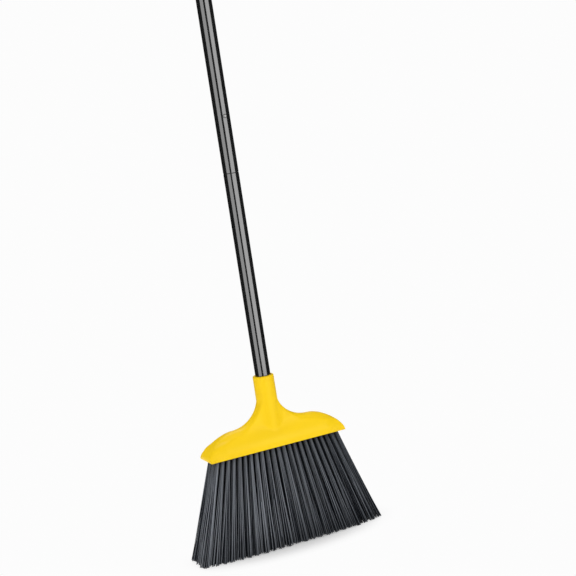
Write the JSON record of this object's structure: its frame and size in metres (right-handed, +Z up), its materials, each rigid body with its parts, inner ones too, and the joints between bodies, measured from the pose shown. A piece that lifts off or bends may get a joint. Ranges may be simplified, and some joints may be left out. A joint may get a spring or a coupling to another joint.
{
  "type": "outdoor broom",
  "caption": "Fan-shaped outdoor broom: a moulded yellow cap with a round handle socket, flared dark bristle tufts and a black sectional tube handle that unscrews.",
  "frame": {"origin": "on the floor below the handle's axis, at the centre of the bristle tips", "axes": "+Z up along the handle, +X along the sweep, -Y towards the front of the broom, where the snap buttons are"},
  "size_m": [0.304, 0.0696, 1.42],
  "materials": {
    "cap_plastic": "moulded yellow polypropylene, satin",
    "black_plastic": "moulded black polypropylene",
    "bristle": "dark grey synthetic bristle, slightly glossy",
    "handle_paint": "gloss black powder coat on steel tube",
    "bright_steel": "plated spring steel"
  },
  "bodies": {
    "head": {"head_cap": "cap_plastic", "brush_block": "black_plastic", "bristle_row_1": "bristle", "bristle_row_2": "bristle", "bristle_row_3": "bristle", "bristle_row_4": "bristle", "bristle_row_5": "bristle", "tuft_staples": "bright_steel"},
    "thread": {"thread_tip": "black_plastic"},
    "handle": {"lower_tube": "handle_paint", "middle_tube": "handle_paint", "upper_tube": "handle_paint", "lower_snap_spring": "bright_steel", "upper_snap_spring": "bright_steel", "hang_cap": "black_plastic"},
    "lower_button": {"lower_snap_button": "bright_steel"},
    "upper_button": {"upper_snap_button": "bright_steel"}
  },
  "joints": [
    {"name": "thread_lift", "type": "slide", "parent": "head", "child": "thread", "axis": [0, 0, 1], "range_m": [0, 0.0306]},
    {"name": "handle_screw", "type": "hinge", "parent": "thread", "child": "handle", "pos_m": [0, 0, 0.219], "axis": [0, 0, 1], "range_deg": [0, 2160]},
    {"name": "lower_button_press", "type": "slide", "parent": "handle", "child": "lower_button", "axis": [0, 1, 0], "range_m": [0, 0.0035], "stiffness_N_per_m": 1500, "deforming": ["lower_snap_spring"]},
    {"name": "upper_button_press", "type": "slide", "parent": "handle", "child": "upper_button", "axis": [0, 1, 0], "range_m": [0, 0.0035], "stiffness_N_per_m": 1500, "deforming": ["upper_snap_spring"]}
  ],
  "couplings": [
    {"joint": "thread_lift", "follows": "handle_screw", "m_per_rad": 0.00080851}
  ]
}
